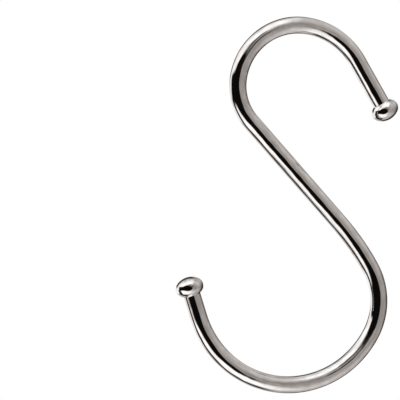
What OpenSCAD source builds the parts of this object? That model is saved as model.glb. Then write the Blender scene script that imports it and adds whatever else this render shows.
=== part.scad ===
// Round-wire S hook with a ball headed on each end.
// The hook hangs in the XZ plane. The origin is the rail seat, the inside top of the upper bend,
// with +Z up and +X towards the open side of the upper bend.

/* [Wire] */
// Diameter of the round wire
wire_d = 4; // [3:0.1:4.8]

/* [Upper bend] */
// Radius of the wire's centreline over the rail seat and round the back
crown_r = 14.65; // [12:0.05:20]
// Angle of the crown from the rail seat towards the open side
crown_front_angle = 5; // [2:0.1:12]
// Angle of the crown from the rail seat towards the back
crown_back_angle = 80.1; // [74:0.1:86]
// Centreline radius of the wider shoulder in front of the crown
shoulder_r = 17; // [13:0.1:20]
// Angle of the shoulder
shoulder_angle = 54.4; // [42:0.1:60]
// Straight length from the shoulder to the middle of the upper ball
upper_leg_length = 13.2; // [8:0.1:18]
// Centreline radius of the tighter heel between the crown and the shank
heel_r = 12.35; // [10.5:0.05:18]
// Angle of the heel
heel_angle = 52.2; // [46:0.1:58]

/* [Shank] */
// Straight length between the two bends
shank_length = 31.55; // [26:0.05:44]

/* [Lower bend] */
// Centreline radius of the slack curve that leads out of the shank
hip_r = 60.7; // [40:0.1:80]
// Angle of that slack curve
hip_angle = 12.3; // [6:0.1:16]
// Centreline radius of the tight side of the bend
side_r = 15.85; // [13.5:0.05:20]
// Angle of the tight side
side_angle = 59.7; // [50:0.1:64]
// Centreline radius of the bottom, where the load hangs
base_r = 22.8; // [18:0.1:27]
// Angle of the bottom
base_angle = 132.7; // [118:0.1:142]
// Straight length from the bottom curve to the middle of the lower ball
lower_leg_length = 7.25; // [5:0.05:12]

/* [Ball ends] */
// Diameter of a ball across the wire
ball_d = 6.5; // [5.8:0.1:8]
// Length that the same ball would have along the wire, with no wire in it
ball_length = 4.8; // [4.5:0.05:5.5]
// Radius of the ball's round rim, which is tighter than its two domed faces
rim_r = 1.95; // [1.4:0.05:2.2]

/* [Hidden] */
$fn = 96;
ball_r = ball_d / 2;
wire_r = wire_d / 2;
dome_height = ball_length / 2;
rim_centre = ball_r - rim_r;
// Radius of the domed faces, so that they run smoothly into the rim
dome_r = (dome_height ^ 2 + rim_centre ^ 2 - rim_r ^ 2) / (2 * (dome_height - rim_r));
dome_centre = dome_r - dome_height;
// Radius from the ball's axis at which a domed face turns into the rim
blend_x = rim_centre * dome_r / (dome_r - rim_r);
left = 1;
right = -1;
// A slim stretch has this much less radius than the full wire, and laps this far into its neighbours,
// so that every joint between two stretches is a clean step and they all grow into one solid
slim_by = 0.01;
lap = 0.2;

// A straight stretch of full wire along +X, with what follows it at its end
module straight(length) {
    rotate([0, 90, 0])
        cylinder(h = length, r = wire_r);
    translate([length, 0, 0])
        children();
}

// A bent stretch that sets out along +X and turns left or right, with what follows it at its end
module bend(radius, angle, side, slim = false) {
    lap_angle = slim ? lap / radius * 180 / PI : 0;
    first_angle = side == left ? -90 : 90 - angle;
    translate([0, side * radius, 0]) {
        rotate_extrude(angle = angle + 2 * lap_angle, start = first_angle - lap_angle)
            translate([radius, 0])
                circle(r = slim ? wire_r - slim_by : wire_r);
        rotate([0, 0, side * angle])
            translate([0, -side * radius, 0])
                children();
    }
}

// Half of the ball's section, with the ball's middle at the origin
module ball_section() {
    intersection() {
        translate([0, dome_centre])
            circle(r = dome_r);
        translate([0, -dome_centre])
            circle(r = dome_r);
        translate([0, -dome_height])
            square([blend_x, ball_length]);
    }
    intersection() {
        translate([rim_centre, 0])
            circle(r = rim_r);
        translate([blend_x, -ball_length])
            square([ball_d, 2 * ball_length]);
    }
}

// A ball headed on the end of the wire, whose own axis is +X
module ball_end() {
    rotate([0, 90, 0])
        rotate_extrude()
            ball_section();
}

// From the open end of the crown to the upper ball
module upper_end() {
    bend(shoulder_r, shoulder_angle, right, slim = true)
        straight(upper_leg_length)
            ball_end();
}

// From the back end of the crown down the shank, and under the load to the lower ball
module lower_end() {
    bend(heel_r, heel_angle, left, slim = true)
        straight(shank_length)
            bend(hip_r, hip_angle, right, slim = true)
                bend(side_r, side_angle, right)
                    bend(base_r, base_angle, right, slim = true)
                        straight(lower_leg_length)
                            ball_end();
}

// The S is drawn flat with its crown's middle at the top, and then stood up
module hook() {
    color("silver")
        rotate([90, 0, 0])
            translate([0, wire_r - crown_r, 0]) {
                rotate([0, 0, crown_back_angle])
                    translate([0, crown_r, 0])
                        rotate([0, 0, 180])
                            lower_end();
                rotate([0, 0, -crown_front_angle])
                    translate([0, crown_r, 0])
                        upper_end();
                rotate_extrude(angle = crown_back_angle + crown_front_angle, start = 90 - crown_front_angle)
                    translate([crown_r, 0])
                        circle(r = wire_r);
            }
}

hook();
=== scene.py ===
"""S hook in polished steel wire: its looks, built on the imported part.

The hook's sizes are in mm, the room's are in metres, and angles are in degrees.
"""
import math
import bpy
import numpy as np
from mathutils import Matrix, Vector


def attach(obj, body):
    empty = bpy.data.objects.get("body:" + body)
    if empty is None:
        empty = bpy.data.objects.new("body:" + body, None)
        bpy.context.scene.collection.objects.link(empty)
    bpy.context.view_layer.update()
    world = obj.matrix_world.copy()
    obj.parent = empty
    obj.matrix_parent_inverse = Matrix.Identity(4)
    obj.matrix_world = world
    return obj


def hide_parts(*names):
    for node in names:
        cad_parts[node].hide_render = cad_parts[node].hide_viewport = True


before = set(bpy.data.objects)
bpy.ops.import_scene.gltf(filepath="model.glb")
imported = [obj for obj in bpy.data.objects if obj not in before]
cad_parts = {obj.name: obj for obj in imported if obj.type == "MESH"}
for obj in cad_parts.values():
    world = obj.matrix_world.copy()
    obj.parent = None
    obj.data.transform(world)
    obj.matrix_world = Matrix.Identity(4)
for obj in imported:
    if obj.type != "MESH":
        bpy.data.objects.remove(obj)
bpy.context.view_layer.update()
scene = bpy.context.scene
MM_PER_M = 1000

# The hook's sizes, as in the part's source
WIRE_R = 2.0
CROWN_R = 14.65
CROWN_FRONT_ANGLE = 5.0
CROWN_BACK_ANGLE = 80.1
SHOULDER_R = 17.0
SHOULDER_ANGLE = 54.4
UPPER_LEG_LENGTH = 13.2
HEEL_R = 12.35
HEEL_ANGLE = 52.2
SHANK_LENGTH = 31.55
HIP_R = 60.7
HIP_ANGLE = 12.3
SIDE_R = 15.85
SIDE_ANGLE = 59.7
BASE_R = 22.8
BASE_ANGLE = 132.7
LOWER_LEG_LENGTH = 7.25
BALL_R = 3.25
BALL_LENGTH = 4.8
RIM_R = 1.95
LEFT = 1
RIGHT = -1

# The small radius where the wire runs into a ball, which only this mesh has
NECK_R = 0.16
# The wire's last ring stays this far from a ball's neck, and a ring thinner than this is a single point
NECK_GAP = 0.05
POINT_R = 1e-6

# How fine the mesh is: points round the wire, the longest step along it, and the steps of a ball's outline
SIDES = 64
STEP = 0.3
NECK_STEPS = 5
INNER_DOME_STEPS = 6
RIM_STEPS = 20
OUTER_DOME_STEPS = 15

# The UV map shows the unrolled wire in rows, so that its scale is about the same along the wire and round it.
# The margins are the shares of a row that stay free at each of its ends and along each of its sides.
UV_ROWS = 4
UV_END_MARGIN = 0.01
UV_SIDE_MARGIN = 0.02


# The wire's centreline
class Centreline:
    """The middle of the wire in the XZ plane, drawn stretch by stretch, with its heading at each point."""

    def __init__(self, start, heading):
        self.points = [np.array(start, float)]
        self.headings = [math.radians(heading)]

    def straight(self, length):
        start, heading = self.points[-1], self.headings[-1]
        along = np.array([math.cos(heading), math.sin(heading)])
        steps = max(2, math.ceil(length / STEP))
        for i in range(1, steps + 1):
            self.points.append(start + along * length * i / steps)
            self.headings.append(heading)

    def bend(self, radius, angle, side):
        start, heading, angle = self.points[-1], self.headings[-1], math.radians(angle)
        middle = start + side * radius * np.array([-math.sin(heading), math.cos(heading)])
        steps = max(2, math.ceil(radius * angle / STEP))
        for i in range(1, steps + 1):
            turned = heading + side * angle * i / steps
            self.points.append(middle + side * radius * np.array([math.sin(turned), -math.cos(turned)]))
            self.headings.append(turned)


def upper_leg():
    """From the rail seat to the middle of the upper ball."""
    line = Centreline((0, WIRE_R), 0)
    line.bend(CROWN_R, CROWN_FRONT_ANGLE, RIGHT)
    line.bend(SHOULDER_R, SHOULDER_ANGLE, RIGHT)
    line.straight(UPPER_LEG_LENGTH)
    return line


def lower_leg():
    """From the rail seat down the shank and under the load to the middle of the lower ball."""
    line = Centreline((0, WIRE_R), 180)
    line.bend(CROWN_R, CROWN_BACK_ANGLE, LEFT)
    line.bend(HEEL_R, HEEL_ANGLE, LEFT)
    line.straight(SHANK_LENGTH)
    line.bend(HIP_R, HIP_ANGLE, RIGHT)
    line.bend(SIDE_R, SIDE_ANGLE, RIGHT)
    line.bend(BASE_R, BASE_ANGLE, RIGHT)
    line.straight(LOWER_LEG_LENGTH)
    return line


# The rings that the wire's surface runs through
def ball_outline():
    """A ball's outline from the wire to its tip: (distance along its axis from its middle, radius)."""
    height, rim_centre = BALL_LENGTH / 2, BALL_R - RIM_R
    dome_r = (height ** 2 + rim_centre ** 2 - RIM_R ** 2) / (2 * (height - RIM_R))
    dome_centre = dome_r - height
    # the neck's radius touches the wire and the inner dome, which fixes where its own middle is
    neck_height = WIRE_R + NECK_R
    neck_centre = dome_centre - math.sqrt((dome_r + NECK_R) ** 2 - neck_height ** 2)
    # angles at a dome's middle, from the ball's axis: where the neck ends, and where the rim begins
    neck_end = math.atan2(neck_height, dome_centre - neck_centre)
    blend_x = rim_centre * dome_r / (dome_r - RIM_R)
    rim_start = math.asin(blend_x / dome_r)
    outline = []
    for i in range(NECK_STEPS + 1):
        t = (math.pi / 2 - neck_end) * i / NECK_STEPS
        outline.append((neck_centre + NECK_R * math.sin(t), neck_height - NECK_R * math.cos(t)))
    for i in range(1, INNER_DOME_STEPS + 1):
        t = neck_end + (rim_start - neck_end) * i / INNER_DOME_STEPS
        outline.append((dome_centre - dome_r * math.cos(t), dome_r * math.sin(t)))
    rim_half = math.pi / 2 - rim_start
    for i in range(1, RIM_STEPS + 1):
        t = -rim_half + 2 * rim_half * i / RIM_STEPS
        outline.append((RIM_R * math.sin(t), rim_centre + RIM_R * math.cos(t)))
    for i in range(1, OUTER_DOME_STEPS + 1):
        t = rim_start * (1 - i / OUTER_DOME_STEPS)
        outline.append((dome_r * math.cos(t) - dome_centre, dome_r * math.sin(t)))
    return outline


def leg_rings(line, outline):
    """The rings of a leg, each (middle, heading, radius), from its start to the tip of its ball.

    The wire's own rings stop at the ball's neck.
    """
    end, heading, neck = line.points[-1], line.headings[-1], -outline[0][0]
    along = np.array([math.cos(heading), math.sin(heading)])
    stations = zip(line.points, line.headings)
    rings = [(p, h, WIRE_R) for p, h in stations if math.dist(p, end) > neck + NECK_GAP]
    return rings + [(end + distance * along, heading, radius) for distance, radius in outline]


def hook_rings():
    """All rings in one row from the upper ball's tip to the lower ball's, with headings the same way."""
    outline = ball_outline()
    upper = [(p, h + math.pi, r) for p, h, r in reversed(leg_rings(upper_leg(), outline))]
    return upper + leg_rings(lower_leg(), outline)[1:]


# The swept mesh
def ring_points(rings, along):
    """The points, their places on the unrolled wire, and for each ring the numbers of its points."""
    points, unrolled, numbers = [], [], []
    turns = np.arange(SIDES) * 2 * math.pi / SIDES
    for (p, h, r), s in zip(rings, along):
        if r < POINT_R:
            numbers.append([len(points)] * SIDES)
            points.append((p[0], 0, p[1]))
            unrolled.append((s, 0, 0))
            continue
        numbers.append(list(range(len(points), len(points) + SIDES)))
        for turn in turns:
            c, q = math.cos(turn), math.sin(turn)
            points.append((p[0] - math.sin(h) * r * c, r * q, p[1] + math.cos(h) * r * c))
            unrolled.append((s, r * c, r * q))
    return points, unrolled, numbers


def ring_faces(numbers, along):
    """The faces between the rings, and the UVs of their corners."""
    faces, uvs = [], []
    end_room, side_room = 1 - 2 * UV_END_MARGIN, 1 - 2 * UV_SIDE_MARGIN
    for i in range(len(numbers) - 1):
        a, b = numbers[i], numbers[i + 1]
        row = min(UV_ROWS - 1, int(UV_ROWS * (along[i] + along[i + 1]) / 2 / along[-1]))
        for j in range(SIDES):
            k = (j + 1) % SIDES
            corners = (a[j], i, j), (a[k], i, j + 1), (b[k], i + 1, j + 1), (b[j], i + 1, j)
            face = []
            for point, ring, column in corners:
                if point not in face:
                    face.append(point)
                    uvs.append((
                        UV_END_MARGIN + end_room * (UV_ROWS * along[ring] / along[-1] - row),
                        (row + UV_SIDE_MARGIN + side_room * column / SIDES) / UV_ROWS,
                    ))
            faces.append(face)
    return faces, uvs


def sweep(name, rings):
    """An object whose closed surface runs through the rings, of which the first and last have no radius."""
    steps = np.hypot(*np.diff([p for p, h, r in rings], axis=0).T)
    along = np.r_[0, np.cumsum(steps + np.abs(np.diff([r for p, h, r in rings])))]
    points, unrolled, numbers = ring_points(rings, along)
    faces, uvs = ring_faces(numbers, along)
    mesh = bpy.data.meshes.new(name)
    mesh.from_pydata([tuple(x / MM_PER_M for x in p) for p in points], [], faces)
    layer = mesh.uv_layers.new(name="UVMap")
    layer.data.foreach_set("uv", np.array(uvs, np.float32).ravel())
    place = mesh.attributes.new("unrolled", "FLOAT_VECTOR", "POINT")
    place.data.foreach_set("vector", np.array(unrolled, np.float32).ravel())
    mesh.polygons.foreach_set("use_smooth", [True] * len(mesh.polygons))
    mesh.update()
    mesh.validate()
    swept = bpy.data.objects.new(name, mesh)
    scene.collection.objects.link(swept)
    return swept


hook = sweep("polished_wire_hook", hook_rings())
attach(hook, "root")
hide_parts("hook")


# Node helpers
class Graph:
    """Short calls for making the nodes of one tree. A value is a number or a socket."""

    def __init__(self, tree):
        self.tree = tree
        tree.nodes.clear()

    def node(self, kind, **settings):
        made = self.tree.nodes.new(kind)
        for name, setting in settings.items():
            setattr(made, name, setting)
        return made

    def feed(self, socket, value):
        if isinstance(value, bpy.types.NodeSocket):
            self.tree.links.new(value, socket)
        else:
            socket.default_value = value

    def math(self, op, *values):
        made = self.node("ShaderNodeMath", operation=op)
        for socket, value in zip(made.inputs, values):
            self.feed(socket, value)
        return made.outputs[0]

    def add(self, a, b):
        return self.math("ADD", a, b)

    def sub(self, a, b):
        return self.math("SUBTRACT", a, b)

    def mul(self, a, b):
        return self.math("MULTIPLY", a, b)

    def length(self, a, b):
        return self.math("SQRT", self.add(self.mul(a, a), self.mul(b, b)))

    def ramp(self, value, low, high, to_low=0.0, to_high=1.0):
        """Smooth step from to_low, where value is low, to to_high, where it is high."""
        made = self.node("ShaderNodeMapRange", interpolation_type="SMOOTHSTEP")
        for socket, number in zip(made.inputs, (value, low, high, to_low, to_high)):
            self.feed(socket, number)
        return made.outputs[0]

    def window(self, value, rise, fall):
        """1 between two soft edges, each of them (where it is 0, where it is 1)."""
        return self.mul(self.ramp(value, *rise), self.ramp(value, *fall))

    def mix(self, share, a, b):
        """Number a where share is 0, and b where it is 1."""
        made = self.node("ShaderNodeMix", data_type="FLOAT")
        for i, value in ((0, share), (2, a), (3, b)):
            self.feed(made.inputs[i], value)
        return made.outputs[0]

    def blend(self, share, a, b):
        """Colour a where share is 0, and b where it is 1."""
        made = self.node("ShaderNodeMix", data_type="RGBA")
        for i, value in ((0, share), (6, a), (7, b)):
            self.feed(made.inputs[i], value)
        return made.outputs[2]

    def darken(self, level, share, by):
        """The level less by this part of it where share is 1."""
        return self.mul(level, self.sub(1.0, self.mul(share, by)))

    def dot(self, vector, fixed):
        made = self.node("ShaderNodeVectorMath", operation="DOT_PRODUCT")
        self.feed(made.inputs[0], vector)
        made.inputs[1].default_value = fixed
        return made.outputs["Value"]

    def scaled(self, vector, by):
        made = self.node("ShaderNodeVectorMath", operation="MULTIPLY")
        self.feed(made.inputs[0], vector)
        made.inputs[1].default_value = by
        return made.outputs["Vector"]

    def noise(self, vector, scale, detail, rough):
        made = self.node("ShaderNodeTexNoise")
        self.feed(made.inputs["Vector"], vector)
        made.inputs["Scale"].default_value = scale
        made.inputs["Detail"].default_value = detail
        made.inputs["Roughness"].default_value = rough
        return made.outputs[0]

    def bump(self, height, strength, distance):
        """A bump node for a height in mm, whose Normal can still be fed."""
        made = self.node("ShaderNodeBump")
        made.inputs["Strength"].default_value = strength
        made.inputs["Distance"].default_value = distance / MM_PER_M
        self.feed(made.inputs["Height"], height)
        return made


# Polished stainless steel: the shades of its uneven polish, the lines that the drawing die leaves along the
# wire, and the hairlines between them. A range is where the noise takes a pattern from none to full.
BRIGHT_POLISH = (0.893, 0.865, 0.848, 1)
DULL_POLISH = (0.710, 0.680, 0.664, 1)
POLISH_RANGE = (0.36, 0.64)
DIE_LINE_TINT = (0.600, 0.578, 0.555, 1)
DIE_LINE_RANGE = (0.48, 0.66)
DIE_LINE_SHARE = 0.60
HAIRLINE_TINT = (0.62, 0.60, 0.58, 1)
HAIRLINE_RANGE = (0.58, 0.80)
HAIRLINE_SHARE = 0.25
SPECK_RANGE = (0.62, 0.75)
NOISE_MIDDLE = 0.5
# Its roughness, and how much the die's lines, the uneven polish and small specks change it
ROUGHNESS = 0.055
ROUGHER_BY_LINES = 0.06
ROUGHER_BY_POLISH = 0.05
ROUGHER_BY_SPECKS = 0.04
# The height of the faint swell of a bent and tumbled wire, and of its lines
SWELL_HEIGHT = 0.09
SWELL_STRENGTH = 1.0
LINE_HEIGHT = 0.005
LINE_STRENGTH = 0.25
HAIRLINE_HEIGHT_SHARE = 0.35


def polished_steel():
    made = bpy.data.materials.new("polished_stainless_steel")
    made.use_nodes = True
    g = Graph(made.node_tree)
    place = g.node("ShaderNodeAttribute", attribute_name="unrolled").outputs["Vector"]

    def pattern(along, scale, detail, rough):
        """Noise over the unrolled wire. Its pace along the wire is this share of its pace round it."""
        return g.noise(g.scaled(place, (along, 1.0, 1.0)), scale, detail, rough)

    die_lines = pattern(along=0.03, scale=2.4, detail=3.0, rough=0.6)
    hairlines = pattern(along=0.04, scale=11.0, detail=2.0, rough=0.5)
    polish = pattern(along=0.45, scale=0.75, detail=3.0, rough=0.6)
    swell = pattern(along=0.50, scale=0.50, detail=1.0, rough=0.4)
    specks = g.ramp(g.noise(place, scale=7.0, detail=2.0, rough=0.6), *SPECK_RANGE)

    tint = g.blend(g.ramp(polish, *POLISH_RANGE), BRIGHT_POLISH, DULL_POLISH)
    tint = g.blend(g.mul(g.ramp(die_lines, *DIE_LINE_RANGE), DIE_LINE_SHARE), tint, DIE_LINE_TINT)
    tint = g.blend(g.mul(g.ramp(hairlines, *HAIRLINE_RANGE), HAIRLINE_SHARE), tint, HAIRLINE_TINT)

    rough = g.add(ROUGHNESS, g.mul(g.sub(die_lines, NOISE_MIDDLE), ROUGHER_BY_LINES))
    rough = g.add(rough, g.mul(g.sub(polish, NOISE_MIDDLE), ROUGHER_BY_POLISH))
    rough = g.add(rough, g.mul(specks, ROUGHER_BY_SPECKS))

    swells = g.bump(swell, SWELL_STRENGTH, SWELL_HEIGHT)
    all_lines = g.add(die_lines, g.mul(hairlines, HAIRLINE_HEIGHT_SHARE))
    lines = g.bump(all_lines, LINE_STRENGTH, LINE_HEIGHT)
    g.feed(lines.inputs["Normal"], swells.outputs[0])

    shader = g.node("ShaderNodeBsdfPrincipled")
    shader.inputs["Metallic"].default_value = 1.0
    g.feed(shader.inputs["Base Color"], tint)
    g.feed(shader.inputs["Roughness"], rough)
    g.feed(shader.inputs["Normal"], lines.outputs[0])
    g.feed(g.node("ShaderNodeOutputMaterial").inputs["Surface"], shader.outputs[0])
    return made


hook.data.materials.append(polished_steel())

# The camera: how far round to the left of the hook's front it stands, how far off, the point that it looks
# at, the width that its long lens takes in there, and the nearest and farthest that it sees
CAMERA_TURN = 15.0
CAMERA_DISTANCE = 0.9
AIM = Vector((-0.023702, 0, -0.038715))
FRAME_WIDTH = 0.092463
SENSOR_WIDTH = 36
NEAREST = 0.05
FARTHEST = 50
to_camera = Vector((-math.sin(math.radians(CAMERA_TURN)), -math.cos(math.radians(CAMERA_TURN)), 0))


def add_camera():
    lens = bpy.data.cameras.new("camera")
    lens.sensor_width = SENSOR_WIDTH
    lens.lens = SENSOR_WIDTH * CAMERA_DISTANCE / FRAME_WIDTH
    lens.clip_start, lens.clip_end = NEAREST, FARTHEST
    camera = bpy.data.objects.new("camera", lens)
    scene.collection.objects.link(camera)
    camera.location = AIM + to_camera * CAMERA_DISTANCE
    camera.rotation_mode = "QUATERNION"
    camera.rotation_quaternion = (-to_camera).to_track_quat("-Z", "Y")
    scene.camera = camera


add_camera()


# The studio is what polished metal shows of its surroundings, by direction. Angle u is to the right of the
# direction to the camera and angle v above it, however far round, and theta is the whole angle from it.
# An edge is a pair of angles, where it begins and where it is complete. A level of 1 is white.
def directions(g):
    """The angles u, v and theta of a direction."""
    way = g.node("ShaderNodeTexCoord").outputs["Generated"]
    x = g.dot(way, (-to_camera.y, to_camera.x, 0))
    z = g.dot(way, (0, 0, 1))
    # the limits keep clear of the ways straight to and from the camera, where u and v have no one value
    cos_limit, least_across = 0.99999, 1e-5
    cos_theta = g.math("MAXIMUM", g.dot(way, tuple(to_camera)), -cos_limit)
    theta = g.mul(g.math("ARCCOSINE", g.math("MINIMUM", cos_theta, cos_limit)), 180 / math.pi)
    across = g.math("MAXIMUM", g.length(x, z), least_across)
    u = g.mul(theta, g.math("DIVIDE", x, across))
    v = g.mul(theta, g.math("DIVIDE", z, across))
    return u, v, theta


def softboxes(g, u):
    """White softboxes everywhere, dimmer far round on the left."""
    dimmer, full, left_edge = 1.08, 1.32, (-120, -60)
    return g.mix(g.ramp(u, *left_edge), dimmer, full)


def with_wall(g, level, u, v):
    """A grey wall on the right. It is darkest a little below the camera's height, and far round and low."""
    darkest, top, bottom = 0.36, 0.65, 0.94
    line, reach = -11, 78
    far_edge, far_share = (84, 138), 0.20
    low_edge, low_share = (90, 190), 0.42
    wall_edge = (6, 34)
    height = g.sub(v, line)
    above = g.mix(g.ramp(height, 0, reach), darkest, top)
    below = g.mix(g.ramp(height, 0, -reach), darkest, bottom)
    wall = g.mix(g.math("GREATER_THAN", height, 0), below, above)
    wall = g.mul(wall, g.mix(g.ramp(u, *far_edge), 1.0, far_share))
    wall = g.mul(wall, g.mix(g.ramp(g.sub(u, v), *low_edge), 1.0, low_share))
    return g.mix(g.ramp(u, *wall_edge), level, wall)


def with_ceiling_and_table(g, level, u, v):
    """The ceiling, which comes lower on the left, and the far part of the table."""
    ceiling, ceiling_edge = 0.48, (78, 130)
    lower_by, left_edge = 18, (-25, -60)
    table, table_edge = 0.60, (-79, -93)
    height = g.add(v, g.mul(g.ramp(u, *left_edge), lower_by))
    level = g.mix(g.ramp(height, *ceiling_edge), level, ceiling)
    return g.mix(g.ramp(v, *table_edge), level, table)


def with_table_rim(g, level, u, v, theta):
    """The table's dark rim, an arc low on the left that is farther from the camera's direction lower down."""
    near, far, growth = 97, 112, (-50, -92)
    soft_edge, top_edge, right_edge = (17.5, 10.5), (-14, -30), (13, -12)
    depth = 0.97
    arc = g.math("ABSOLUTE", g.sub(theta, g.mix(g.ramp(v, *growth), near, far)))
    rim = g.mul(g.ramp(arc, *soft_edge), g.mul(g.ramp(v, *top_edge), g.ramp(u, *right_edge)))
    return g.darken(level, rim, depth)


def with_shade(g, level, u, v):
    """A soft shade over the camera."""
    middle, soft_edge = 24, (34, 4)
    left_edge, right_edge = (-56, -16), (50, 14)
    depth = 0.66
    height = g.math("ABSOLUTE", g.sub(v, middle))
    return g.darken(level, g.mul(g.ramp(height, *soft_edge), g.window(u, left_edge, right_edge)), depth)


def dark_disc(g, u, v):
    """A dark disc, whose radius swings with one, two and three times the angle round its middle."""
    middle_u, middle_v, half_edge = -28, -3, 5.5
    mean_radius, by_cos_1, by_cos_2, by_sin_2, by_sin_3 = 42.8, 4.8, 5.0, -4.2, -2.9
    least_far = 0.001
    right, up = g.sub(u, middle_u), g.sub(v, middle_v)
    far = g.math("MAXIMUM", g.length(right, up), least_far)
    cos_1, sin_1 = g.math("DIVIDE", right, far), g.math("DIVIDE", up, far)
    cos_2 = g.sub(g.mul(cos_1, cos_1), g.mul(sin_1, sin_1))
    sin_2 = g.mul(2.0, g.mul(cos_1, sin_1))
    sin_3 = g.add(g.mul(sin_2, cos_1), g.mul(cos_2, sin_1))
    radius = g.add(mean_radius, g.mul(cos_1, by_cos_1))
    radius = g.add(radius, g.add(g.mul(cos_2, by_cos_2), g.mul(sin_2, by_sin_2)))
    radius = g.add(radius, g.mul(sin_3, by_sin_3))
    return g.ramp(g.sub(far, radius), half_edge, -half_edge)


def with_dark(g, level, u, v):
    """The dark round the camera: an uneven disc, a gap from it to the left, and two paler lobes beside it."""
    dark_level = 0.004
    gap_left, gap_right = (-108, -94), (5, -5)
    gap_bottom, gap_top = (-36, -24), (32, 19)
    # a lobe is (u, v, half its width, half its height, its share of the dark), and its edge is in such halves
    lobes = ((17, 13, 9, 10, 0.87), (-3, 36, 14, 10, 0.76))
    lobe_edge = (1.2, 0.8)
    dark = dark_disc(g, u, v)
    gap = g.mul(g.window(u, gap_left, gap_right), g.window(v, gap_bottom, gap_top))
    dark = g.math("MAXIMUM", dark, gap)
    for lobe_u, lobe_v, half_width, half_height, share in lobes:
        right, up = g.mul(g.sub(u, lobe_u), 1 / half_width), g.mul(g.sub(v, lobe_v), 1 / half_height)
        dark = g.math("MAXIMUM", dark, g.ramp(g.length(right, up), *lobe_edge, 0.0, share))
    return g.mix(dark, level, dark_level)


def with_ring(g, level, u, v, theta):
    """The dark ring that draws the wire's thin outline, and the grey far behind the hook.

    The ring is open at the lower left and the upper right. Both are given as the way to them in (u, v).
    """
    ring, ring_edge = 0.03, (123, 135)
    lower_left, lower_left_edge = (-0.74, -0.67), (115, 75)
    upper_right, upper_right_edge = (0.8, 0.6), (118, 82)
    behind, behind_edge = 0.55, (157, 166)
    to_lower_left = g.add(g.mul(u, lower_left[0]), g.mul(v, lower_left[1]))
    to_upper_right = g.add(g.mul(u, upper_right[0]), g.mul(v, upper_right[1]))
    closed = g.mul(g.ramp(to_lower_left, *lower_left_edge), g.ramp(to_upper_right, *upper_right_edge))
    level = g.mix(g.mul(g.ramp(theta, *ring_edge), closed), level, ring)
    return g.mix(g.ramp(theta, *behind_edge), level, behind)


def toned(g, level):
    """The level as a colour: greys are a little warm, and white is neutral."""
    grey, grey_tone = 0.25, (1.03, 0.965, 0.925, 1)
    white, white_tone = 1.0, (1.0, 0.997, 0.995, 1)
    made = g.node("ShaderNodeVectorMath", operation="SCALE")
    g.feed(made.inputs[0], g.blend(g.ramp(level, grey, white), grey_tone, white_tone))
    g.feed(made.inputs["Scale"], level)
    return made.outputs[0]


def studio():
    """Glossy rays see the studio, the camera sees white, and diffuse rays see an even grey."""
    even_grey, white = (0.55, 0.55, 0.55, 1), (1, 1, 1, 1)
    world = bpy.data.worlds.new("studio")
    scene.world = world
    world.use_nodes = True
    g = Graph(world.node_tree)
    u, v, theta = directions(g)
    level = softboxes(g, u)
    level = with_wall(g, level, u, v)
    level = with_ceiling_and_table(g, level, u, v)
    level = with_table_rim(g, level, u, v, theta)
    level = with_shade(g, level, u, v)
    level = with_dark(g, level, u, v)
    level = with_ring(g, level, u, v, theta)
    path = g.node("ShaderNodeLightPath")
    shown = g.blend(path.outputs["Is Glossy Ray"], even_grey, toned(g, level))
    shown = g.blend(path.outputs["Is Camera Ray"], shown, white)
    sky = g.node("ShaderNodeBackground")
    g.feed(sky.inputs["Color"], shown)
    g.feed(g.node("ShaderNodeOutputWorld").inputs["Surface"], sky.outputs[0])


studio()

# The soft key lamp shines down, a little to the right and to the back
KEY_LEVEL = 0.45
KEY_SPREAD = 24
KEY_DIRECTION = Vector((0.30, 0.42, -1.0))


def add_key():
    key = bpy.data.lights.new("soft_key", "SUN")
    key.energy = KEY_LEVEL * math.pi
    key.angle = math.radians(KEY_SPREAD)
    lamp = bpy.data.objects.new("soft_key", key)
    scene.collection.objects.link(lamp)
    lamp.rotation_mode = "QUATERNION"
    lamp.rotation_quaternion = KEY_DIRECTION.to_track_quat("-Z", "Y")
    lamp.visible_glossy = False


add_key()

# The pale floor below the hanging hook. It glows for the camera alone, which makes it white where it is lit
# and keeps the hook's shadow.
FLOOR_Z = -0.105
FLOOR_HALF = 8
FLOOR_GREY = (0.55, 0.55, 0.55, 1)
FLOOR_GLOW = 0.485


def pale_floor():
    paper = bpy.data.materials.new("pale_floor")
    paper.use_nodes = True
    g = Graph(paper.node_tree)
    lit = g.node("ShaderNodeBsdfDiffuse")
    lit.inputs["Color"].default_value = FLOOR_GREY
    glow = g.node("ShaderNodeEmission")
    glow.inputs["Color"].default_value = (1, 1, 1, 1)
    seen = g.node("ShaderNodeLightPath").outputs["Is Camera Ray"]
    g.feed(glow.inputs["Strength"], g.mul(seen, FLOOR_GLOW))
    both = g.node("ShaderNodeAddShader")
    g.feed(both.inputs[0], lit.outputs[0])
    g.feed(both.inputs[1], glow.outputs[0])
    g.feed(g.node("ShaderNodeOutputMaterial").inputs["Surface"], both.outputs[0])
    return paper


def add_floor():
    mesh = bpy.data.meshes.new("floor")
    corners = [(x * FLOOR_HALF, y * FLOOR_HALF, FLOOR_Z) for x, y in ((-1, -1), (1, -1), (1, 1), (-1, 1))]
    mesh.from_pydata(corners, [], [(0, 1, 2, 3)])
    mesh.materials.append(pale_floor())
    floor = bpy.data.objects.new("floor", mesh)
    scene.collection.objects.link(floor)
    floor.visible_glossy = False


add_floor()

scene.view_settings.view_transform = "Standard"
